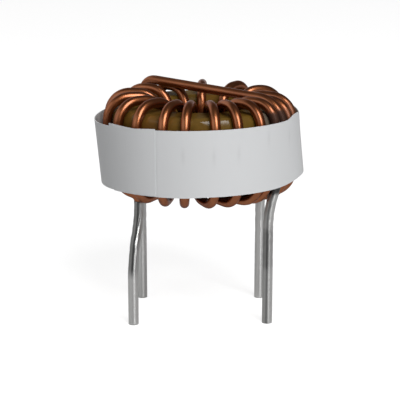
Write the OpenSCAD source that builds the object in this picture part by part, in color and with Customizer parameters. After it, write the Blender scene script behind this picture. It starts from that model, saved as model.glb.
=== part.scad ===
// Toroidal inductor on four leads: a coated powder core, two hand-wound coils of enamelled wire,
// a loose band of clear-white tape and a tin coat on each stripped wire end.
// Millimetres. The lead tips stand on z = 0, the leads' front pair is toward -Y.
// Angles round the core are in degrees from the front, positive toward +X.

/* [Core] */
// Outer diameter over the coat
core_od = 27.3; // [26:0.1:30]
// Bore diameter inside the coat
core_id = 14.3; // [14:0.1:16]
// Height
core_h = 11.6; // [9:0.1:14]
// Radius of the coated edges
core_corner = 2; // [1.4:0.1:2.4]

/* [Wire] */
// Diameter over the enamel
wire_d = 1.46; // [1.3:0.01:1.54]
// Thickness of the enamel
enamel = 0.04; // [0.02:0.01:0.06]
// Clearance between a turn's legs and the core
leg_gap = 0.04; // [0.03:0.01:0.1]
// Height of a turn's crown above the core, under the wire
crown_lift = 0.67; // [0.4:0.01:0.9]

/* [Crossing wire] */
// Extra distance of the crossing wire's front leg from the core
cross_stand_off = 0.05; // [0.03:0.01:0.12]
// Rise over the crowns, in wire diameters
cross_nest = 0.58; // [0.58:0.01:0.8]
// Bend radius at the front
cross_bend_front = 4.2; // [4:0.1:4.4]
// Bend radius at the back
cross_bend_back = 2.8; // [2.4:0.1:3.2]
// Clearance between the wire's two layers under the core
layer_gap = 0.06; // [0.04:0.01:0.3]

/* [Leads] */
// Height of the core's centre above the lead tips
lift = 26.3; // [22:0.1:32]
// Front left lead, X of its tip
front_left_x = -10.02; // [-11:0.01:-9]
// Front left lead, Y of its tip
front_left_y = -10.1; // [-11:0.01:-8]
// Front right lead, X of its tip
front_right_x = 10.23; // [9:0.01:12]
// Front right lead, Y of its tip
front_right_y = -9.4; // [-10.5:0.01:-8.5]
// Back left lead, X of its tip
back_left_x = -9.24; // [-11:0.01:-8]
// Back left lead, Y of its tip
back_left_y = 2.9; // [1.5:0.01:4]
// Back right lead, X of its tip
back_right_x = 9.56; // [8:0.01:11]
// Back right lead, Y of its tip
back_right_y = 2.9; // [1.5:0.01:4]
// Thickness of the tin on the stripped wire
tin_t = 0.085; // [0.05:0.005:0.12]
// Thickness of the tin under the wire's end
tin_tip = 0.15; // [0.05:0.01:0.4]

/* [Tape] */
// Thickness of one layer
tape_t = 0.12; // [0.05:0.01:0.2]
// Width
tape_w = 9.76; // [8:0.01:11]
// Clearance between the windings and the tape at the front
tape_slack = 0.45; // [0.4:0.01:0.8]
// How far the tape's middle lies below the core's
tape_drop = 0.35; // [0:0.01:1]
// How far the top edge leans to the left, and the bottom edge to the right
tape_lean = 0.45; // [0.3:0.01:0.5]
// How far the coil sits to the right of the tape's middle
tape_shift = 0.13; // [0:0.01:0.15]
// Rise of the tape's right side over its middle
tape_rise = 0.33; // [0:0.01:0.6]
// Clearance between the two layers where the tape overlaps
tape_overlap_gap = 0.02; // [0.01:0.01:0.06]
// Where the inner end of the tape starts
tape_inner_end = -56.5; // [-62:0.5:-45]
// Where the outer end of the tape is cut
tape_outer_end = -24.5; // [-32:0.5:-10]
// How far the inner end stands up above the rest
tape_step = 0.4; // [0:0.01:0.6]

/* [Hidden] */
$fn = 32;

// Clear gaps between neighbouring turns at the bore, as they were wound by hand, right to left
front_gaps = [0.07, 0.14, 0.05, 0.05, 0.05, 0.49, 0.11, 0.43, 0.5];
winding_to_winding_gap = 0.76;
back_gaps = [0.98, 1.08, 2.27, 1.36, 1.9, 1.84];
// Angle from the bore leg to the outer leg of each turn
front_slants = [-3.4, -3.6, -5.9, 1, 0.3, 0.3, 0, 0, 0, 0];
back_slants = [0, 0, 0, 0, 0, 0, 0];
// Bore leg of the turn just left of the front
middle_turn = 6;
middle_turn_angle = -9.2;
// The crossing wire's legs lie between two turns, this share of the way from one to the next
cross_front_turn = 2;
cross_front_share = 0.569;
cross_back_turn = 2;
cross_back_share = 0.5;

wire_r = wire_d / 2;
bare_r = wire_r - enamel;
tin_r = bare_r + tin_t;
inner_leg_r = core_id / 2 - leg_gap - wire_r;
outer_leg_r = core_od / 2 + leg_gap + wire_r;
crown_level = core_h / 2 + crown_lift + wire_r;
crown_bend = core_corner + crown_lift + wire_r;
second_level = crown_level + wire_d + layer_gap;
second_bend = 2.4;
cross_level = crown_level + cross_nest * wire_d;
cross_leg_r = outer_leg_r + cross_stand_off;

// Pieces of wire meet inside a ball a hair thicker than the wire
ball_extra = 0.012;
leg_joint_gap = 0.03;
bend_joint_gap = 0.11;
swing_joint_angle = 0.6;
strip_overlap = 0.15;

// Under the core the back leads run out level and bend down
drop_bend_back_left = 1.6;
drop_bend_back_right = 2;
// The front left lead swings in under the core in an S, as it leaves its outer leg
swing_left = [2.99, 0.04];
swing_bend_top = 2.8;
swing_bend_end = 1.2;

// Front leads lean over to their tips, by these shares at these depths below the first bend.
// The depths suit a lean of up to the given reach, and stretch where a tip lies farther out
joggle_shares_left = [0, 0.22, 0.7, 1];
joggle_depths_left = [0, 2.4, 5, 9];
joggle_reach_left = 2.7;
joggle_top_left = 1.6;
joggle_shares_right = [0, 0.2, 0.82, 1];
joggle_depths_right = [0, 1.2, 3.6, 4.9];
joggle_reach_right = 1.1;
// The front right lead's first bend is this far above the core's underside, just below its tin's start
joggle_rise_right = 0.1;
tin_over_bend = 0.05;

function add_up(gaps, k) = k < 1 ? 0 : add_up(gaps, k - 1) + pitch(gaps[k - 1]);
function pitch(gap) = 2 * asin((wire_d + gap) / (2 * inner_leg_r));
function at(r, a) = [r * sin(a), -r * cos(a)];
function above(p, z) = [p[0], p[1], z];
function in_coil(x, y) = [x - tape_shift, y];
function span(p, q) = round(norm(q - p) * 1000) / 1000;
// Points where a lead bends on its way from above a start to its tip
function joggle(start, tip, shares, depths, reach) =
    let (top = [start[0], start[1]], stretch = max(1, norm(tip - top) / reach))
    [for (k = [0:len(depths) - 1])
        above(top + (tip - top) * shares[k], start[2] - depths[k] * stretch)];

first_front_angle = middle_turn_angle + add_up(front_gaps, middle_turn);
front_inner = [for (k = [0:len(front_gaps)]) first_front_angle - add_up(front_gaps, k)];
first_back_angle = front_inner[len(front_gaps)] - pitch(winding_to_winding_gap);
back_inner = [for (k = [0:len(back_gaps)]) first_back_angle - add_up(back_gaps, k)];
front_outer = front_inner + front_slants;
back_outer = back_inner + back_slants;
cross_front_angle = front_outer[cross_front_turn]
    + (front_outer[cross_front_turn - 1] - front_outer[cross_front_turn]) * (1 - cross_front_share);
cross_back_angle = back_outer[cross_back_turn]
    + (back_outer[cross_back_turn + 1] - back_outer[cross_back_turn]) * cross_back_share;
cross_front = at(cross_leg_r, cross_front_angle);
cross_back = at(outer_leg_r, cross_back_angle);

// Lead tips, and where the front left lead's swing starts and ends
tip_front_left = in_coil(front_left_x, front_left_y);
tip_front_right = in_coil(front_right_x, front_right_y);
tip_back_left = in_coil(back_left_x, back_left_y);
tip_back_right = in_coil(back_right_x, back_right_y);
swing_from = at(outer_leg_r, front_outer[len(front_outer) - 1]);
swing_to = swing_from + swing_left;
swing_start = core_h / 2 - core_corner;
swing_span = span(swing_from, swing_to);
swing_angle = acos(1 - swing_span / (swing_bend_top + swing_bend_end));
swing_end = swing_start + (swing_bend_top + swing_bend_end) * sin(swing_angle);

// Stripped part of each lead, from where the tin starts to the last bend above the tip
strip_front_left = concat([above(swing_to, -swing_end)],
    joggle(above(swing_to, -swing_end - joggle_top_left), tip_front_left,
           joggle_shares_left, joggle_depths_left, joggle_reach_left));
first_bend_right = above(cross_front, joggle_rise_right - core_h / 2);
strip_front_right = concat([first_bend_right + [0, 0, tin_r + tin_over_bend]],
    joggle(first_bend_right, tip_front_right,
           joggle_shares_right, joggle_depths_right, joggle_reach_right));
strip_back_left = [above(tip_back_left, -second_level - drop_bend_back_left)];
strip_back_right = [above(tip_back_right, -crown_level - drop_bend_back_right)];

// A lead's path from the start of its tin down to a height above the tips
function down_to(strip, height) = concat(strip, [above(strip[len(strip) - 1], height - lift)]);
// The same path, started a little inside the enamelled wire
function rooted(path) = concat([path[0] + [0, 0, strip_overlap]],
                               [for (k = [1:len(path) - 1]) path[k]]);

module ball(r) {
    sphere(r = r + ball_extra);
}

module rod(a, b, r, gap_a, gap_b) {
    v = b - a;
    translate(a)
        rotate([0, acos(v[2] / norm(v)), atan2(v[1], v[0])])
            translate([0, 0, gap_a])
                cylinder(h = norm(v) - gap_a - gap_b, r = r);
}

// Straight pieces with a ball at each bend between them
module bent_rod(path, r) {
    last = len(path) - 1;
    for (k = [1:last])
        rod(path[k - 1], path[k], r, k == 1 ? 0 : bend_joint_gap, k == last ? 0 : bend_joint_gap);
    for (k = [1:1:last - 1])
        translate(path[k]) ball(r);
}

// A bend that leaves the vertical, and after a quarter turn ends level
module elbow(bend, turn = 90) {
    translate([bend, 0, 0])
        rotate([90, 0, 180])
            rotate_extrude(angle = turn)
                translate([bend, 0])
                    circle(r = wire_r);
}

// Half a turn over the core, from a leg at p to a leg at q, both cut at the core's mid-height
module over(p, q, level, bend_p, bend_q) {
    v = q - p;
    w = span(p, q);
    translate([p[0], p[1], 0])
        rotate([0, 0, atan2(v[1], v[0])]) {
            translate([0, 0, leg_joint_gap])
                cylinder(h = level - bend_p - leg_joint_gap, r = wire_r);
            translate([0, 0, level - bend_p])
                elbow(bend_p);
            translate([bend_p, 0, level])
                rotate([0, 90, 0])
                    cylinder(h = w - bend_p - bend_q, r = wire_r);
            translate([w, 0, level - bend_q])
                mirror([1, 0, 0])
                    elbow(bend_q);
            translate([w, 0, leg_joint_gap])
                cylinder(h = level - bend_q - leg_joint_gap, r = wire_r);
        }
}

module under(p, q, level, bend) {
    mirror([0, 0, 1])
        over(p, q, level, bend, bend);
}

// From a leg at p down and out under the core, and down again into a lead at q
module drop(p, q, level, bend) {
    v = q - p;
    w = span(p, q);
    translate([p[0], p[1], 0])
        rotate([0, 0, atan2(v[1], v[0])])
            mirror([0, 0, 1]) {
                translate([0, 0, leg_joint_gap])
                    cylinder(h = level - bend - leg_joint_gap, r = wire_r);
                translate([0, 0, level - bend])
                    elbow(bend);
                translate([bend, 0, level])
                    rotate([0, 90, 0])
                        cylinder(h = w - 2 * bend, r = wire_r);
                translate([w, 0, level + bend])
                    rotate([0, 180, 0])
                        elbow(bend);
            }
}

// From the front left outer leg down in an S to the start of that lead's tin
module swing() {
    translate([swing_from[0], swing_from[1], 0])
        rotate([0, 0, atan2(swing_left[1], swing_left[0])])
            mirror([0, 0, 1]) {
                translate([0, 0, leg_joint_gap])
                    cylinder(h = swing_start - leg_joint_gap, r = wire_r);
                translate([0, 0, swing_start])
                    elbow(swing_bend_top, swing_angle - swing_joint_angle);
                translate([swing_bend_top * (1 - cos(swing_angle)), 0,
                           swing_start + swing_bend_top * sin(swing_angle)])
                    ball(wire_r);
                translate([swing_span, 0, swing_end])
                    rotate([0, 180, 0])
                        elbow(swing_bend_end, swing_angle - swing_joint_angle);
            }
}

module leg_joint(p) {
    translate([p[0], p[1], 0])
        ball(wire_r);
}

// The turns of one winding: radial over the core, stepping to the next turn under it
module turns(inner, outer) {
    last = len(inner) - 1;
    for (k = [0:last]) {
        over(at(inner_leg_r, inner[k]), at(outer_leg_r, outer[k]), crown_level, crown_bend, crown_bend);
        leg_joint(at(inner_leg_r, inner[k]));
        leg_joint(at(outer_leg_r, outer[k]));
    }
    for (k = [1:last])
        under(at(outer_leg_r, outer[k - 1]), at(inner_leg_r, inner[k]), crown_level, crown_bend);
}

module stripped_wire(strip) {
    bent_rod(rooted(down_to(strip, tin_tip)), bare_r);
}

module tin_coat(strip) {
    difference() {
        bent_rod(down_to(strip, 0), tin_r);
        stripped_wire(strip);
    }
}

module in_row_frame() {
    translate([tape_shift, 0, lift])
        children();
}

module core() {
    wall = (core_od - core_id) / 2;
    color("#6e6a34")
        in_row_frame()
            rotate_extrude($fn = 96)
                translate([core_id / 2, -core_h / 2]) {
                    translate([core_corner, 0])
                        square([wall - 2 * core_corner, core_h]);
                    translate([0, core_corner])
                        square([wall, core_h - 2 * core_corner]);
                    for (x = [core_corner, wall - core_corner])
                        for (y = [core_corner, core_h - core_corner])
                            translate([x, y])
                                circle(r = core_corner);
                }
}

module winding_front() {
    color("#b5662f")
        in_row_frame() {
            drop(at(inner_leg_r, front_inner[0]), tip_back_right, crown_level, drop_bend_back_right);
            stripped_wire(strip_back_right);
            turns(front_inner, front_outer);
            swing();
            stripped_wire(strip_front_left);
        }
}

module winding_back() {
    last = len(back_inner) - 1;
    color("#b5662f")
        in_row_frame() {
            drop(at(inner_leg_r, back_inner[0]), tip_back_left, second_level, drop_bend_back_left);
            stripped_wire(strip_back_left);
            turns(back_inner, back_outer);
            under(at(outer_leg_r, back_outer[last]), cross_back, second_level, second_bend);
            leg_joint(cross_back);
            over(cross_back, cross_front, cross_level, cross_bend_back, cross_bend_front);
            leg_joint(cross_front);
            rod(above(cross_front, 0), strip_front_right[0], wire_r, leg_joint_gap, 0);
            stripped_wire(strip_front_right);
        }
}

function ease(x) = let (s = min(max(x, 0), 1)) s * s * (3 - 2 * s);

// The tape runs once round from its inner end, and on over it as a second layer to its outer end
tape_slice = 4;
tape_r = outer_leg_r + wire_r + tape_slack;
tape_climb_span = 28;
tape_step_span = 24;
// It is drawn straight across the wide gap between the turns on the right
tape_flat_angle = 95.5;
tape_flat_reach = 56;
tape_turns_end = 360 + tape_outer_end;
tape_slices = ceil((tape_turns_end - tape_inner_end) / tape_slice);

function flat_share(a) = let (off = abs(a - tape_flat_angle))
    off > tape_flat_reach ? 0 : pow(cos(90 * off / tape_flat_reach), 2);
function left_share(a) = max(0, -sin(a));
function tape_layer(a) = (tape_t + tape_overlap_gap)
    * ease((a - 360 - tape_inner_end + tape_climb_span) / tape_climb_span);
function tape_radius(a, side) = tape_r + tape_layer(a)
    + (tape_shift + side * tape_lean) * (left_share(a) - flat_share(a));
function tape_z(a, side) = -tape_drop + side * tape_w / 2 + tape_rise * sin(a)
    + tape_step * (1 - ease((a - tape_inner_end) / tape_step_span));
function tape_corner(a, side, depth) = above(at(tape_radius(a, side) + depth, a), tape_z(a, side));

module tape() {
    angles = [for (k = [0:tape_slices])
        tape_inner_end + (tape_turns_end - tape_inner_end) * k / tape_slices];
    corners = [for (a = angles)
        each [tape_corner(a, -1, 0), tape_corner(a, -1, tape_t),
              tape_corner(a, 1, tape_t), tape_corner(a, 1, 0)]];
    sides = [for (k = [0:tape_slices - 1], c = [0:3]) let (d = (c + 1) % 4)
        each [[4 * k + c, 4 * k + 4 + c, 4 * k + 4 + d], [4 * k + c, 4 * k + 4 + d, 4 * k + d]]];
    end = 4 * tape_slices;
    color("#e8edf0")
        in_row_frame()
            polyhedron(points = corners,
                       faces = concat(sides, [[0, 1, 2, 3], [end + 3, end + 2, end + 1, end]]));
}

module tin_front_left() {
    color("#b7babd")
        in_row_frame()
            tin_coat(strip_front_left);
}

module tin_front_right() {
    color("#b7babd")
        in_row_frame()
            tin_coat(strip_front_right);
}

module tin_back_left() {
    color("#b7babd")
        in_row_frame()
            tin_coat(strip_back_left);
}

module tin_back_right() {
    color("#b7babd")
        in_row_frame()
            tin_coat(strip_back_right);
}

core();
winding_front();
winding_back();
tape();
tin_front_left();
tin_front_right();
tin_back_left();
tin_back_right();
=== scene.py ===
from math import acos, asin, atan2, ceil, cos, degrees, exp, hypot, pi, radians, sin

import bpy
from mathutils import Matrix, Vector, noise

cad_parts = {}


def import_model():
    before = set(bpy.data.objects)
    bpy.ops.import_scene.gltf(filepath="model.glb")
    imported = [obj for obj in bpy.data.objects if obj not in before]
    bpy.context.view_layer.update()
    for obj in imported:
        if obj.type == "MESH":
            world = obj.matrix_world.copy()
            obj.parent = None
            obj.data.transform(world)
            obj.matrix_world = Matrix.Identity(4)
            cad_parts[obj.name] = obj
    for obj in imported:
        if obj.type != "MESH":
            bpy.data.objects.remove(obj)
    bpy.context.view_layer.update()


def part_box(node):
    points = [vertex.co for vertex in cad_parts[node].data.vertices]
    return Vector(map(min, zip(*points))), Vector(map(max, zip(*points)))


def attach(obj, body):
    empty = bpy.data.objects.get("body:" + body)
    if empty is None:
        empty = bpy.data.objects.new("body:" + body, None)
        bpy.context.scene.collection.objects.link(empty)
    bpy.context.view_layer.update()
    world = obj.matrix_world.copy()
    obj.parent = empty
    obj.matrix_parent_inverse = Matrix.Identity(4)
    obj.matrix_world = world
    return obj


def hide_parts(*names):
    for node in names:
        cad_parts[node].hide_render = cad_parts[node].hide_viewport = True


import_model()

# Toroidal inductor: a coated powder core, two hand-wound windings of enamelled wire, a loose band of
# clear-white tape, and solder on the four stripped wire ends. Each piece replaces its CAD node.
# Lengths are in millimetres here and become metres in make_mesh.
# Routes, core and tape are laid out round the core's centre, and then moved there with COIL.
# Angles round the core are in degrees from the front (-Y), positive toward +X.
# A pair given to fade() is (start, width), and one given to bell() is (centre, width).
MM = 0.001

# ---------------------------------------------------------------- sizes, the core's from the frame
core_low, core_high = [Vector(p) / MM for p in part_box("core")]
COIL = (core_low + core_high) / 2
CORE_OD = core_high.x - core_low.x
CORE_H = core_high.z - core_low.z
CORE_ID = 14.3
CORE_CORNER = 2.0
WIRE_D = 1.46
WIRE_R = WIRE_D / 2
LEG_GAP = 0.04
LAYER_GAP = 0.06
INNER_LEG = CORE_ID / 2 - LEG_GAP - WIRE_R
OUTER_LEG = CORE_OD / 2 + LEG_GAP + WIRE_R
# Levels are those of a wire's centreline, above or below the core's mid height
CROWN = 7.2
CROWN_BEND = 3.4
SECOND_LEVEL = CROWN + WIRE_D + LAYER_GAP
SECOND_BEND = 2.4

# Each turn's bore leg and outer leg under the core, listed one by one as they were wound
FRONT_INNER = [77.3, 63.6, 49.2, 35.6, 22.0, 8.4, -9.2, -23.3, -40.4, -58.0]
FRONT_OUTER = [73.9, 60.0, 43.3, 36.6, 22.3, 8.7, -9.2, -23.3, -40.4, -58.0]
BACK_INNER = [-78.1, -100.1, -123.1, -157.1, -182.6, -213.2, -243.1]
BACK_OUTER = BACK_INNER
# and over it, where some legs lean on behind the tape
FRONT_INNER_TOP = [98.7, 83.8, 49.2, 35.6, 22.0, 8.4, -8.8, -22.3, -40.4, -58.0]
FRONT_OUTER_TOP = [74.6, 66.6, 49.8, 37.6, 22.3, 8.7, -8.8, -22.3, -40.4, -58.0]
BACK_INNER_TOP = [-78.1, -100.1, -130.0, -159.0, -181.4, -211.6, -243.1]
BACK_OUTER_TOP = [-78.1, -100.1, -123.6, -150.5, -181.4, -211.6, -243.1]
# Each crown's level, and its bend at the outer leg
PLAIN = (CROWN, CROWN_BEND)
FRONT_CROWNS = [PLAIN, (6.9, CROWN_BEND)] + [PLAIN] * 8
BACK_CROWNS = [PLAIN, PLAIN, (7.25, 3.8), (7.0, CROWN_BEND),
               (7.12, CROWN_BEND), (7.13, CROWN_BEND), (CROWN, 4.1)]

# The back winding's last run crosses over the crowns, from a leg at the back to one at the front right
CROSS_BACK = -140.1
CROSS_FRONT = 50.46
CROSS_FRONT_TOP = 59.4
CROSS_LEVEL = 7.97
CROSS_FALL = 0.57
CROSS_BACK_STAND_OFF = 0.12
CROSS_FRONT_STAND_OFF = 0.05
CROSS_BEND_BACK = 2.55
CROSS_BEND_FRONT = 4.8
# Its front leg leans behind the tape from the top place to the lower one, and is upright below this depth
CROSS_UPRIGHT = 3.8

# The front winding's last leg swings in under the core in an S
SWING = Vector((2.99, 0.04, 0))
SWING_BEND_TOP = 2.8
SWING_BEND_END = 1.2
SWING_START = CORE_H / 2 - CORE_CORNER

TIN_R = 0.775
LEADS = {
    "front_left": (-10.02, -10.1),
    "front_right": (10.23, -9.4),
    "back_left": (-9.24, 2.9),
    "back_right": (9.56, 2.9),
}
DROP_BEND_LEFT = 1.6
DROP_BEND_RIGHT = 2.0
TIN_TOP_RIGHT = 4.875
# Length of the wire's end inside the tin
OVERLAP = 0.1
# The front leads' bends: (share of the way to the tip, depth)
JOGGLE_LEFT = ((0, 1.6), (0.22, 4.0), (0.7, 6.6), (1, 10.6))
JOGGLE_RIGHT = ((0.1, 5.7), (0.5, 6.9), (0.92, 9.3), (1, 10.6))


# ---------------------------------------------------------------- shaping numbers
def ease(x):
    """A smooth step from 0 to 1, level outside."""
    x = min(max(x, 0), 1)
    return x * x * (3 - 2 * x)


def fade(x, start, width):
    """0 at start, 1 a width later. With a width below 0, the 1 lies before the start."""
    return ease((x - start) / width)


def bell(x, centre, width):
    return exp(-((x - centre) / width) ** 2)


# ---------------------------------------------------------------- mesh tools
def make_mesh(name, points, faces):
    mesh = bpy.data.meshes.new(name)
    mesh.from_pydata([tuple(Vector(p) * MM) for p in points], [], faces)
    mesh.update()
    for polygon in mesh.polygons:
        polygon.use_smooth = True
    piece = bpy.data.objects.new(name, mesh)
    bpy.context.scene.collection.objects.link(piece)
    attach(piece, "root")
    return piece


def paint(piece, name, values):
    """A value per point, for the materials to read."""
    layer = piece.data.attributes.new(name, "FLOAT", "POINT")
    layer.data.foreach_set("value", values)


def skin(rings, n, closed=False):
    """Quads from each ring of n points to the next, and from the last to the first if closed."""
    faces = []
    for i in range(rings if closed else rings - 1):
        for j in range(n):
            a, b = i * n + j, i * n + (j + 1) % n
            faces.append((a, (a + n) % (rings * n), (b + n) % (rings * n), b))
    return faces


def resample(path, step):
    """Evenly spaced points along a polyline."""
    lengths = [0.0]
    for a, b in zip(path, path[1:]):
        lengths.append(lengths[-1] + (b - a).length)
    count = max(2, ceil(lengths[-1] / step))
    out = []
    k = 0
    for i in range(count + 1):
        want = lengths[-1] * i / count
        while k < len(path) - 2 and lengths[k + 1] < want:
            k += 1
        part = lengths[k + 1] - lengths[k]
        out.append(path[k].lerp(path[k + 1], (want - lengths[k]) / part if part else 0))
    return out


def soften(path, rounds):
    """Relaxes small corners, with the ends held."""
    for _ in range(rounds):
        inner = [(a + 2 * b + c) / 4 for a, b, c in zip(path, path[1:], path[2:])]
        path = [path[0]] + inner + [path[-1]]
    return path


def sweep(path, sides, radius):
    """Tube along a path, with its ends closed. radius(k, turn) is at a point of the path and an angle."""
    tangents = []
    for k in range(len(path)):
        tangents.append((path[min(k + 1, len(path) - 1)] - path[max(k - 1, 0)]).normalized())
    side = tangents[0].orthogonal().normalized()
    points = []
    for k, (centre, tangent) in enumerate(zip(path, tangents)):
        side = (side - tangent * side.dot(tangent)).normalized()
        across = tangent.cross(side)
        for s in range(sides):
            turn = 2 * pi * s / sides
            points.append(centre + (side * cos(turn) + across * sin(turn)) * radius(k, turn))
    faces = [(a, b, d, c) for a, c, d, b in skin(len(path), sides)]
    faces.append(tuple(reversed(range(sides))))
    faces.append(tuple(range(len(points) - sides, len(points))))
    return points, faces


# ---------------------------------------------------------------- wire routes
def at(r, angle):
    a = radians(angle)
    return Vector((r * sin(a), -r * cos(a), 0))


def lead(name):
    """Where a lead stands, as seen from above."""
    x, y = LEADS[name]
    return Vector((x - COIL.x, y, 0))


def down(point, depth):
    return point - Vector((0, 0, depth))


def upright(p, q, profile):
    """Points of a profile, (distance from p toward q, height), in the upright plane through both."""
    along = (q - p) / (q - p).length
    return [p + along * x + Vector((0, 0, z)) for x, z in profile]


def arc(angle, steps):
    """Cosine and sine at even steps from 0 to an angle."""
    return [(cos(angle * k / steps), sin(angle * k / steps)) for k in range(steps + 1)]


def half_turn(p, q, level, bend_p, bend_q, up=True, fall=0):
    """From a leg at p over (or under) the core to a leg at q."""
    w = (q - p).length
    quarter = arc(pi / 2, steps=12)
    profile = [(bend_p - bend_p * c, level - bend_p + bend_p * s) for c, s in quarter]
    quarter.reverse()
    profile += [(w - bend_q + bend_q * c, level - fall - bend_q + bend_q * s) for c, s in quarter]
    sign = 1 if up else -1
    return upright(p, q, [(x, sign * z) for x, z in profile])


def drop(p, q, level, bend):
    """From a leg at p out under the core, and down at q into the tin."""
    w = (q - p).length
    quarter = arc(pi / 2, steps=8)
    profile = [(bend - bend * c, -(level - bend + bend * s)) for c, s in quarter]
    profile += [(w - bend + bend * s, -(level + bend - bend * c)) for c, s in quarter]
    profile.append((w, -(level + bend + OVERLAP)))
    return upright(p, q, profile)


def turns(inner, outer, inner_top, outer_top, crowns):
    """A winding's turns, from the first crown's bore leg to the last one's outer leg."""
    route = []
    for k, (level, bend) in enumerate(crowns):
        if k:
            route += half_turn(at(OUTER_LEG, outer[k - 1]), at(INNER_LEG, inner[k]),
                               CROWN, CROWN_BEND, CROWN_BEND, up=False)
        route += half_turn(at(INNER_LEG, inner_top[k]), at(OUTER_LEG, outer_top[k]),
                           level, CROWN_BEND, bend)
    return route


def swing(p, q):
    """From an outer leg at p down in an S to a lead at q."""
    w = (q - p).length
    bends = SWING_BEND_TOP + SWING_BEND_END
    angle = acos(1 - w / bends)
    end = SWING_START + bends * sin(angle)
    bend = arc(angle, steps=12)
    profile = [(SWING_BEND_TOP * (1 - c), -(SWING_START + SWING_BEND_TOP * s)) for c, s in bend]
    bend.reverse()
    profile += [(w - SWING_BEND_END * (1 - c), -(end - SWING_BEND_END * s)) for c, s in bend[1:]]
    return upright(p, q, profile)


def joggle(p, q, top, bends):
    """From p to q through bends, their depths counted from a top depth, and on to the lead's tip."""
    return [down(p.lerp(q, share), top + depth) for share, depth in bends] + [down(q, COIL.z)]


def straight(name, top):
    """A lead from a top depth to its tip."""
    return [down(lead(name), top), down(lead(name), COIL.z)]


swing_from = at(OUTER_LEG, FRONT_OUTER[-1])
swing_to = swing_from + SWING
swing_path = swing(swing_from, swing_to)
swing_end = swing_path[-1]
cross_back = at(OUTER_LEG, CROSS_BACK)
cross_back_top = at(OUTER_LEG + CROSS_BACK_STAND_OFF, CROSS_BACK)
cross_front = at(OUTER_LEG + CROSS_FRONT_STAND_OFF, CROSS_FRONT)
cross_front_top = at(OUTER_LEG + CROSS_FRONT_STAND_OFF, CROSS_FRONT_TOP)
cross_end = down(cross_front, TIN_TOP_RIGHT)

front_route = drop(at(INNER_LEG, FRONT_INNER[0]), lead("back_right"), CROWN, DROP_BEND_RIGHT)[::-1]
front_route += turns(FRONT_INNER, FRONT_OUTER, FRONT_INNER_TOP, FRONT_OUTER_TOP, FRONT_CROWNS)
front_route += swing_path + [down(swing_end, OVERLAP)]

back_route = drop(at(INNER_LEG, BACK_INNER[0]), lead("back_left"), SECOND_LEVEL, DROP_BEND_LEFT)[::-1]
back_route += turns(BACK_INNER, BACK_OUTER, BACK_INNER_TOP, BACK_OUTER_TOP, BACK_CROWNS)
back_route += half_turn(at(OUTER_LEG, BACK_OUTER[-1]), cross_back,
                        SECOND_LEVEL, SECOND_BEND, SECOND_BEND, up=False)
back_route += half_turn(cross_back_top, cross_front_top,
                        CROSS_LEVEL, CROSS_BEND_BACK, CROSS_BEND_FRONT, fall=CROSS_FALL)
back_route += [down(cross_front, CROSS_UPRIGHT), down(cross_front, TIN_TOP_RIGHT + OVERLAP)]

lead_routes = {
    "front_left": [swing_end] + joggle(swing_to, lead("front_left"), -swing_end.z, JOGGLE_LEFT),
    "front_right": [cross_end] + joggle(cross_front, lead("front_right"), 0, JOGGLE_RIGHT),
    "back_left": straight("back_left", SECOND_LEVEL + DROP_BEND_LEFT),
    "back_right": straight("back_right", CROWN + DROP_BEND_RIGHT),
}

# ---------------------------------------------------------------- windings
WIRE_STEP = 0.3
WIRE_SOFTENING = 2
WIRE_SIDES = 20
# The painted shade patch on the coil's right shoulder: its edges, in degrees and millimetres, and where it
# gets weaker and reaches higher
SHADE_LEFT = (40, 3)
SHADE_WEAKER = (61, 4)
SHADE_LOSS = 0.5
SHADE_HIGHER = (66, 4)
SHADE_RISE = 0.5
SHADE_RIGHT = (83, -4)
SHADE_OUTSIDE = (11, 1.5)
SHADE_BOTTOM = (1.5, 1.5)
SHADE_TOP = 6.35
SHADE_TOP_WIDTH = -0.5


def painted_shade(p):
    """Painted shade on the coil's right shoulder, just above the tape, darkening the copper and the core
    there, 0 to 1.
    """
    angle = degrees(atan2(p.x, -p.y))
    strength = fade(angle, *SHADE_LEFT) * (1 - SHADE_LOSS * fade(angle, *SHADE_WEAKER))
    strength *= fade(angle, *SHADE_RIGHT) * fade(hypot(p.x, p.y), *SHADE_OUTSIDE)
    top = SHADE_TOP + SHADE_RISE * fade(angle, *SHADE_HIGHER)
    return strength * fade(p.z, top, SHADE_TOP_WIDTH) * fade(p.z, *SHADE_BOTTOM)


def wire(name, route):
    path = soften(resample([p + COIL for p in route], WIRE_STEP), WIRE_SOFTENING)
    points, faces = sweep(path, WIRE_SIDES, lambda k, turn: WIRE_R)
    piece = make_mesh(name, points, faces)
    # Painted shade on the wire's points, darkening and dulling the copper on the right shoulder
    paint(piece, "painted_shade", [painted_shade(p - COIL) for p in points])
    return piece


# ---------------------------------------------------------------- solder, with heights from the floor
TIN_STEP = 0.25
TIN_SOFTENING = 6
TIN_SIDES = 24
# Lumps: how fast the noise changes round and along the lead, how far it moves the radius as a share
# of it, and the height above which it does
LUMPS_ROUND = 1.3
LUMPS_ALONG = 1.2
LUMP_RISE = 0.07
LUMP_DROP = 0.02
LUMPY = (8, 4)
# Painted shade on the front leads: a dark stripe near the front for a dark reflection, a shaded left
# side, and what depends on the height. The front right lead is painted dimmer halfway up, and darker at
# its top
STRIPE = (5, 16)
STRIPE_FRONT_LEFT = 0.7
STRIPE_FRONT_RIGHT = 0.6
LEFT_SIDE = (0, 15)
SIDE_SHADE = 0.4
UPPER = (7, 2)
LOWER_SHARE = 0.15
UPPER_SHADE = 0.2
DIM_BOTTOM = (8, 1.5)
DIM_TOP = (15.5, -1.5)
DIM_SHADE = 0.25
DARK_TOP = (COIL.z - 6.4, 0.6)


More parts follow.
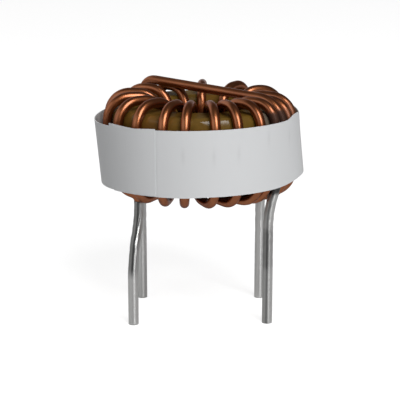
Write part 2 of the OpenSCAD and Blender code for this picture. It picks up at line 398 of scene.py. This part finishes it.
def lead_shading(name, turn, z):
    """Painted shade and dark reflection on the front leads, 0 to 1. turn is in degrees from the front
    toward the left.
    """
    stripe = bell(turn, *STRIPE)
    side = SIDE_SHADE * fade(turn, *LEFT_SIDE)
    if name == "front_right":
        dimmed = DIM_SHADE * fade(z, *DIM_BOTTOM) * fade(z, *DIM_TOP)
        return min(1, side + STRIPE_FRONT_RIGHT * stripe + dimmed + fade(z, *DARK_TOP))
    if name == "front_left":
        upper = fade(z, *UPPER)
        share = LOWER_SHARE + (1 - LOWER_SHARE) * upper
        return min(1, (side + STRIPE_FRONT_LEFT * stripe) * share + UPPER_SHADE * upper)
    return 0


def coat(name, route):
    path = soften(resample([p + COIL for p in route], TIN_STEP), TIN_SOFTENING)
    shift = 5 * len(name)  # to another part of the noise

    def radius(k, turn):
        z = path[k].z
        where = Vector((LUMPS_ROUND * cos(turn) + shift, LUMPS_ROUND * sin(turn), LUMPS_ALONG * z))
        lump = LUMP_RISE * noise.noise(where) - LUMP_DROP
        return TIN_R * (1 + lump * fade(z, *LUMPY))

    points, faces = sweep(path, TIN_SIDES, radius)
    piece = make_mesh("solder_" + name, points, faces)
    marks = []
    for k, p in enumerate(points):
        out = p - path[k // TIN_SIDES]
        marks.append(lead_shading(name, degrees(atan2(-out.x, -out.y)), p.z))
    # Painted shade on the lead's points: the dark stripe, the shaded side and the darker heights
    paint(piece, "lead_shading", marks)
    return piece


# ---------------------------------------------------------------- core
CORE_SLICES = 180
SHOULDER_R = CROWN_BEND - WIRE_R - LEG_GAP
SHOULDER_TOP_R = 0.6
# The coat shines on the outer shoulder, by radius
GLOSS_INSIDE = (12.5, 0.4)
GLOSS_OUTSIDE = (13.45, -0.35)


def shoulder():
    """From the outer wall to the top face: an arc inside the wires' bends, then a tighter one."""
    x, z = OUTER_LEG - CROWN_BEND, CROWN - CROWN_BEND
    top = CORE_H / 2 - SHOULDER_TOP_R
    high = asin((top - z) / (SHOULDER_R - SHOULDER_TOP_R))
    out = [(x + SHOULDER_R * c, z + SHOULDER_R * s) for c, s in arc(high, steps=8)]
    # The tighter arc's centre, at the height top
    x += (SHOULDER_R - SHOULDER_TOP_R) * cos(high)
    steps = 6
    for k in range(1, steps + 1):
        g = high + (pi / 2 - high) * k / steps
        out.append((x + SHOULDER_TOP_R * cos(g), top + SHOULDER_TOP_R * sin(g)))
    return out


def core_ring():
    """The coated ring. Its four edges share one shape."""
    edge = shoulder()
    # A radius taken from this one is its mirror image in the middle of the ring
    mirror = (CORE_OD + CORE_ID) / 2
    profile = edge + [(mirror - r, z) for r, z in reversed(edge)]
    profile += [(mirror - r, -z) for r, z in edge] + [(r, -z) for r, z in reversed(edge)]
    points = []
    for i in range(CORE_SLICES):
        for r, z in profile:
            points.append(at(r, 360 * i / CORE_SLICES) + Vector((0, 0, z)) + COIL)
    piece = make_mesh("coated_core", points, skin(CORE_SLICES, len(profile), closed=True))
    # Painted shade on the core's points, darkening the coat between the wires on the right shoulder
    paint(piece, "painted_shade", [painted_shade(p - COIL) for p in points])
    reach = [hypot(p.x - COIL.x, p.y - COIL.y) for p in points]
    paint(piece, "gloss", [fade(r, *GLOSS_INSIDE) * fade(r, *GLOSS_OUTSIDE) for r in reach])
    return piece


# ---------------------------------------------------------------- tape
TAPE_T = 0.12
TAPE_W = 9.76
TAPE_GAP = 0.444
TAPE_R = OUTER_LEG + WIRE_R + TAPE_GAP
TAPE_ALONG = 500
TAPE_ACROSS = 24
# It starts at the left, climbs onto itself after a full turn, and ends past the overlap in a slanting cut
TAPE_START = -56.5
TAPE_END = 360 - 24.35
TAPE_CUT_SLANT = -0.3
LAYER_STEP = 0.14
LAYER_RUN = 28
# At the left end it stands off and leans out at the top. At the right end it is pulled in and leans in
# as much, and runs straight from leg to leg
TAPE_SHIFT = 0.13
TAPE_LEAN = 0.45
FLAT_AT = 95.5
FLAT_REACH = 56
SPAN_AT = 97
SPAN_REACH = 20
SPAN_IN = 0.2
SPAN_LEAN = 0.1
# It hangs below the core's mid height, tips down toward the left and sags at the left end,
TAPE_DROP = 0.35
TAPE_TIP = 0.33
TAPE_SAG = 0.5
# and its edges wander: a height, and the fade by which it comes
LOWER_RIGHT_RISE = 0.5
LOWER_RIGHT = (42, 35)
UPPER_RIGHT_RISE = 0.5
UPPER_RIGHT = (54, 11)
UPPER_REAR_FALL = 0.45
UPPER_REAR = (69, 14)
REAR_END = (250, -60)
LOWER_LEFT_FALL = 0.13
LOWER_LEFT = (2, -12)
UPPER_START_RISE = 0.35
UPPER_START = (TAPE_START, 24)
UPPER_END_RISE = 0.2
UPPER_END = (14, 18)
# Painted shadows of the wires behind it show at each (angle, height), and a faint painted shadow line
# follows the cut
WIRE_SHADOWS = ((-9.2, 0.8), (7.0, 0.7), (20.5, 1.0), (39.0, 2.8), (57.0, 2.2))
WIRE_SHADOW_WIDTH = 0.9
WIRE_SHADOW_HEIGHT = 1.1
BESIDE_CUT = (0.9, 0.5)
SHARP_EDGE = 40


def tape_radius(a, side):
    """Inner radius at an angle. side goes from -1 at the lower edge to 1 at the upper edge."""
    off = abs(a - FLAT_AT)
    flat = cos(radians(90 * off / FLAT_REACH)) ** 2 if off < FLAT_REACH else 0
    left = max(0, -sin(radians(a)))
    layer = LAYER_STEP * fade(a - 360 - TAPE_START, -LAYER_RUN, LAYER_RUN)
    span = max(0, 1 - ((a - SPAN_AT) / SPAN_REACH) ** 2)
    r = TAPE_R + layer + (TAPE_SHIFT + side * TAPE_LEAN) * (left - flat)
    return r - (SPAN_IN + SPAN_LEAN * side) * span


def tape_z(a, side):
    across = sin(radians(a))
    lower, upper = ease((1 - side) / 2), ease((side + 1) / 2)
    rear_end = fade(a, *REAR_END)
    z = -TAPE_DROP + side * TAPE_W / 2 + TAPE_TIP * across + TAPE_SAG * min(across, 0) ** 5
    z += LOWER_RIGHT_RISE * fade(a, *LOWER_RIGHT) * rear_end * lower
    right = UPPER_RIGHT_RISE * fade(a, *UPPER_RIGHT) - UPPER_REAR_FALL * fade(a, *UPPER_REAR)
    z += right * rear_end * upper
    z -= LOWER_LEFT_FALL * fade(a, *LOWER_LEFT) * lower
    z += UPPER_START_RISE * (1 - fade(a, *UPPER_START)) * upper
    return z + UPPER_END_RISE * fade(a - 360 - TAPE_START, *UPPER_END) * upper


def tape_shadow(a, z):
    """How strongly the painted shadow of the wire behind shows on the tape, 0 to 1."""
    marks = [bell(a, angle, WIRE_SHADOW_WIDTH) * bell(z, height, WIRE_SHADOW_HEIGHT) for angle, height in WIRE_SHADOWS]
    return max(marks)


def tape_band():
    sides = [2 * j / TAPE_ACROSS - 1 for j in range(TAPE_ACROSS + 1)]
    ring = [(side, 0) for side in sides] + [(side, TAPE_T) for side in reversed(sides)]
    points, marks = [], []
    for i in range(TAPE_ALONG + 1):
        for side, depth in ring:
            end = TAPE_END - TAPE_CUT_SLANT * side
            a = TAPE_START + (end - TAPE_START) * i / TAPE_ALONG
            z = tape_z(a, side)
            points.append(at(tape_radius(a, side) + depth, a) + Vector((0, 0, z)) + COIL)
            # Painted shadows of the wires behind the tape and of the cut edge
            marks.append(max(tape_shadow(a, z), bell(a - end + 360, *BESIDE_CUT)))
    n = len(ring)
    faces = skin(TAPE_ALONG + 1, n)
    faces.append(tuple(range(n)))
    faces.append(tuple(reversed(range(len(points) - n, len(points)))))
    piece = make_mesh("tape_band", points, faces)
    piece.data.set_sharp_from_angle(angle=radians(SHARP_EDGE))
    paint(piece, "tape_shadow", marks)
    return piece


# ---------------------------------------------------------------- materials
COPPER_DEEP = (0.34, 0.108, 0.04, 1)
COPPER_PALE = (0.44, 0.15, 0.056, 1)
COPPER_EDGE = (0.45, 0.29, 0.23, 1)
# Painted shade colour for the copper in the dark patch on the right shoulder
COPPER_SHADED = (0.06, 0.045, 0.04, 1)
KHAKI_WARM = (0.165, 0.074, 0.014, 1)
KHAKI_GREEN = (0.15, 0.088, 0.014, 1)
# Painted shade colour for the core's coat in that patch
KHAKI_SHADED = (0.16, 0.14, 0.12, 1)
SPECK = (0.8, 0.8, 0.8, 1)
WHITE = (1, 1, 1, 1)
TAPE_CLOUDY = (0.72, 0.73, 0.74, 1)
TAPE_CLEAR = (0.76, 0.77, 0.78, 1)
# Painted shadow colour of the wires behind the tape and beside the cut
TAPE_SHADED = (0.3, 0.3, 0.3, 1)
TIN_GREY = (0.69, 0.69, 0.68, 1)
TIN_BRIGHT = (0.84, 0.84, 0.83, 1)
# Painted shade colour for the leads' dark stripe and shaded sides
TIN_SHADED = (0.06, 0.06, 0.06, 1)
FLOOR_GREY = (0.5, 0.5, 0.5, 1)


class Nodes:
    """The nodes of a material or a world."""

    def __init__(self, owner):
        owner.use_nodes = True
        self.owner = owner
        self.tree = owner.node_tree

    def add(self, kind, **settings):
        node = self.tree.nodes.new(kind)
        for key, value in settings.items():
            setattr(node, key, value)
        return node

    def put(self, value, socket):
        """Sets a socket to a number or colour, or links an output to it."""
        if isinstance(value, bpy.types.NodeSocket):
            self.tree.links.new(value, socket)
        else:
            socket.default_value = value

    def set(self, **values):
        """The main shader's sockets, by name."""
        for key, value in values.items():
            self.put(value, self.tree.nodes["Principled BSDF"].inputs[key.replace("_", " ")])

    def math(self, operation, *values):
        node = self.add("ShaderNodeMath", operation=operation)
        for value, socket in zip(values, node.inputs):
            self.put(value, socket)
        return node.outputs["Value"]

    def spread(self, value, start, end, low=0, high=1):
        """A number that goes from low at start to high at end."""
        node = self.add("ShaderNodeMapRange")
        self.put(value, node.inputs["Value"])
        for key, number in (("From Min", start), ("From Max", end), ("To Min", low), ("To Max", high)):
            self.put(number, node.inputs[key])
        return node.outputs["Result"]

    def painted(self, name, clean, marked):
        """A number that goes from clean to marked with a painted value."""
        source = self.add("ShaderNodeAttribute", attribute_name=name)
        return self.spread(source.outputs["Fac"], 0, 1, clean, marked)

    def grain(self, scale, detail, stretch=None):
        tex = self.add("ShaderNodeTexNoise")
        self.put(scale, tex.inputs["Scale"])
        self.put(detail, tex.inputs["Detail"])
        source = self.add("ShaderNodeTexCoord").outputs["Object"]
        if stretch:
            mapping = self.add("ShaderNodeMapping")
            self.put(stretch, mapping.inputs["Scale"])
            self.put(source, mapping.inputs["Vector"])
            source = mapping.outputs["Vector"]
        self.put(source, tex.inputs["Vector"])
        return tex.outputs["Fac"]

    def ramp(self, fac, start, first, end, last):
        """A colour that goes from first at start to last at end."""
        node = self.add("ShaderNodeValToRGB")
        low, high = node.color_ramp.elements
        low.position, low.color = start, first
        high.position, high.color = end, last
        self.put(fac, node.inputs["Fac"])
        return node.outputs["Color"]

    def mix(self, fac, a, b, blend_type="MIX"):
        node = self.add("ShaderNodeMix", data_type="RGBA", blend_type=blend_type)
        self.put(fac, node.inputs["Factor"])
        self.put(a, node.inputs["A"])
        self.put(b, node.inputs["B"])
        return node.outputs["Result"]

    def bump(self, height, strength, distance):
        node = self.add("ShaderNodeBump")
        self.put(strength, node.inputs["Strength"])
        self.put(distance, node.inputs["Distance"])
        self.put(height, node.inputs["Height"])
        return node.outputs["Normal"]


# A painted coat weight leaves a plain number on its socket too, for a viewer that can't follow the link
def copper_enamel():
    m = Nodes(bpy.data.materials.new("copper_enamel"))
    clean = m.ramp(m.grain(scale=260, detail=4), 0.3, COPPER_DEEP, 0.7, COPPER_PALE)
    m.set(Metallic=1.0, Specular_Tint=COPPER_EDGE, Coat_Weight=0.55, Coat_Roughness=0.15)
    # Painted shade darkens and dulls the copper in the patch on the right shoulder
    m.set(Base_Color=m.mix(m.painted("painted_shade", clean=0, marked=0.85), clean, COPPER_SHADED),
          Roughness=m.painted("painted_shade", clean=0.35, marked=0.75),
          Coat_Weight=m.painted("painted_shade", clean=0.55, marked=0.05),
          Normal=m.bump(m.grain(scale=900, detail=2), strength=0.15, distance=0.0001))
    return m.owner


def core_coat():
    m = Nodes(bpy.data.materials.new("core_coat"))
    patch = m.ramp(m.grain(scale=110, detail=2), 0.35, KHAKI_WARM, 0.65, KHAKI_GREEN)
    speck = m.ramp(m.grain(scale=900, detail=2), 0.3, SPECK, 0.6, WHITE)
    clean = m.mix(1, patch, speck, "MULTIPLY")
    m.set(Roughness=0.55, Specular_IOR_Level=0.05, Coat_Weight=0.3, Coat_Roughness=0.06)
    # Painted shade darkens the coat in the patch on the right shoulder
    m.set(Base_Color=m.mix(m.painted("painted_shade", clean=0, marked=0.7), clean, KHAKI_SHADED),
          Coat_Weight=m.painted("gloss", clean=0.03, marked=1.0),
          Normal=m.bump(m.grain(scale=260, detail=2), strength=0.35, distance=0.0003))
    return m.owner


def clear_white_tape():
    m = Nodes(bpy.data.materials.new("clear_white_tape"))
    clean = m.ramp(m.grain(scale=45, detail=2, stretch=(1, 1, 0.5)), 0.35, TAPE_CLOUDY, 0.65, TAPE_CLEAR)
    weave = m.grain(scale=160, detail=2, stretch=(1, 1, 0.3))
    # Painted shadows darken the tape where the wires lie behind it and beside the cut
    m.set(Roughness=0.4, Base_Color=m.mix(m.painted("tape_shadow", clean=0, marked=0.12), clean, TAPE_SHADED),
          Normal=m.bump(weave, strength=0.1, distance=0.0002))
    return m.owner


def tin():
    m = Nodes(bpy.data.materials.new("tin"))
    clean = m.ramp(m.grain(scale=300, detail=3, stretch=(1, 1, 0.15)), 0.3, TIN_GREY, 0.7, TIN_BRIGHT)
    brushed = m.grain(scale=900, detail=2, stretch=(1, 1, 0.3))
    round_wire = m.add("ShaderNodeTangent", direction_type="RADIAL", axis="Z")
    m.set(Metallic=1.0, Roughness=0.35, Anisotropic=0.85, Anisotropic_Rotation=0.25,
          Tangent=round_wire.outputs["Tangent"],
          # Painted shade darkens the tin along the stripe, the shaded side and the darker heights
          Base_Color=m.mix(m.painted("lead_shading", clean=0, marked=0.95), clean, TIN_SHADED),
          Normal=m.bump(brushed, strength=0.15, distance=0.0001))
    return m.owner


copper = copper_enamel()
tinned = tin()

wire_front = wire("wire_front", front_route)
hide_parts("winding_front")
wire_back = wire("wire_back", back_route)
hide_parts("winding_back")
for piece in (wire_front, wire_back):
    piece.data.materials.append(copper)

for name, route in lead_routes.items():
    piece = coat(name, route)
    piece.data.materials.append(tinned)
    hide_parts("tin_" + name)

band = tape_band()
band.data.materials.append(clear_white_tape())
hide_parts("tape")

core = core_ring()
core.data.materials.append(core_coat())
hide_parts("core")

# ---------------------------------------------------------------- studio, in metres but for the camera
FLOOR_HALF = 1.5
FLOOR_SEEN = 0.78
FLOOR_MIRRORED = 0.13
ROOM_LIGHT = 0.26
# Mirrored rays see a dim room, the white backdrop behind the object, and a broad pale card on the left.
# Both fade with the ray's direction, as spread() takes it: start, end, and what it is there
ROOM_MIRRORED = 0.08
BACKDROP_MIRRORED = 0.8
BACKDROP_Y = (0.7, 0.92)
BACKDROP_Z = (0.08, 0.3, 1, 0.25)
CARD_X = (0, -0.35)
CARD_BOTTOM_Z = (0, 0.2)
CARD_TOP_Z = (0.5, 0.8, 1, 0)
CARD_Y = (0, 0.35, 0.4, 0.85)
LAMP_AIM = Vector((0, 0, 0.024))
CAMERA_LENS = 117
CAMERA_SENSOR = 36
CAMERA_PITCH = 14.11
CAMERA_DISTANCE = 203.01
# The camera's aim, to the right of the core's centre and above it
AIM_RIGHT = -0.09
AIM_UP = -9.49


def seen(m, path):
    """1 for rays from the camera, straight or through glass."""
    return m.math("MAXIMUM", path["Is Camera Ray"], path["Is Transmission Ray"])


def floor():
    mesh = bpy.data.meshes.new("floor")
    s = FLOOR_HALF
    mesh.from_pydata([(-s, -s, 0), (s, -s, 0), (s, s, 0), (-s, s, 0)], [], [(0, 1, 2, 3)])
    piece = bpy.data.objects.new("floor", mesh)
    bpy.context.scene.collection.objects.link(piece)
    m = Nodes(bpy.data.materials.new("floor"))
    m.set(Roughness=0.9, Base_Color=FLOOR_GREY)
    path = m.add("ShaderNodeLightPath").outputs
    mirrored = m.math("MULTIPLY", path["Is Glossy Ray"], FLOOR_MIRRORED)
    glow = m.add("ShaderNodeEmission")
    m.put(m.math("MULTIPLY_ADD", seen(m, path), FLOOR_SEEN, mirrored), glow.inputs["Strength"])
    both = m.add("ShaderNodeAddShader")
    m.put(m.tree.nodes["Principled BSDF"].outputs["BSDF"], both.inputs[0])
    m.put(glow.outputs["Emission"], both.inputs[1])
    m.put(both.outputs["Shader"], m.tree.nodes["Material Output"].inputs["Surface"])
    piece.data.materials.append(m.owner)


def world():
    m = Nodes(bpy.data.worlds.new("studio"))
    bpy.context.scene.world = m.owner
    split = m.add("ShaderNodeSeparateXYZ")
    m.put(m.add("ShaderNodeTexCoord").outputs["Generated"], split.inputs["Vector"])
    x, y, z = split.outputs
    backdrop = m.math("MULTIPLY", m.spread(y, *BACKDROP_Y), m.spread(z, *BACKDROP_Z))
    height = m.math("MULTIPLY", m.spread(z, *CARD_BOTTOM_Z), m.spread(z, *CARD_TOP_Z))
    card = m.math("MULTIPLY", m.math("MULTIPLY", m.spread(x, *CARD_X), height), m.spread(y, *CARD_Y))
    level = m.math("MAXIMUM", m.math("MULTIPLY", backdrop, BACKDROP_MIRRORED), card)

    room = m.tree.nodes["Background"]
    m.put(WHITE, room.inputs["Color"])
    m.put(ROOM_LIGHT, room.inputs["Strength"])
    mirrored = m.add("ShaderNodeBackground")
    m.put(m.math("ADD", ROOM_MIRRORED, level), mirrored.inputs["Strength"])
    white = m.add("ShaderNodeBackground")
    m.put(WHITE, white.inputs["Color"])
    path = m.add("ShaderNodeLightPath").outputs

    def choose(fac, a, b):
        node = m.add("ShaderNodeMixShader")
        for value, socket in zip((fac, a, b), node.inputs):
            m.put(value, socket)
        return node.outputs["Shader"]

    lit = choose(path["Is Glossy Ray"], room.outputs["Background"], mirrored.outputs["Background"])
    shown = choose(seen(m, path), lit, white.outputs["Background"])
    m.put(shown, m.tree.nodes["World Output"].inputs["Surface"])


def softbox(name, azimuth, elevation, distance, size, power):
    """Rectangular lamp aimed at the coil. Azimuth is from the front, positive toward +X."""
    lamp = bpy.data.lights.new(name, "AREA")
    lamp.shape = "RECTANGLE"
    lamp.size, lamp.size_y = size
    lamp.energy = power
    box = bpy.data.objects.new(name, lamp)
    a, e = radians(azimuth), radians(elevation)
    box.location = LAMP_AIM + Vector((sin(a) * cos(e), -cos(a) * cos(e), sin(e))) * distance
    box.rotation_euler = (LAMP_AIM - box.location).to_track_quat("-Z", "Y").to_euler()
    bpy.context.scene.collection.objects.link(box)


def camera():
    cam = bpy.data.cameras.new("camera")
    cam.sensor_width = CAMERA_SENSOR
    cam.lens = CAMERA_LENS
    obj = bpy.data.objects.new("camera", cam)
    pitch = radians(CAMERA_PITCH)
    target = Vector((COIL.x + AIM_RIGHT, 0, COIL.z + AIM_UP))
    obj.location = (target + Vector((0, -CAMERA_DISTANCE * cos(pitch), CAMERA_DISTANCE * sin(pitch)))) * MM
    obj.rotation_euler = (pi / 2 - pitch, 0, 0)
    bpy.context.scene.collection.objects.link(obj)
    bpy.context.scene.camera = obj


floor()
world()
softbox("key", azimuth=27, elevation=41, distance=0.6, size=(0.3, 0.5), power=2.7)
softbox("fill", azimuth=-60, elevation=25, distance=0.6, size=(0.5, 0.4), power=0.3)
camera()
bpy.context.scene.view_settings.view_transform = "Standard"
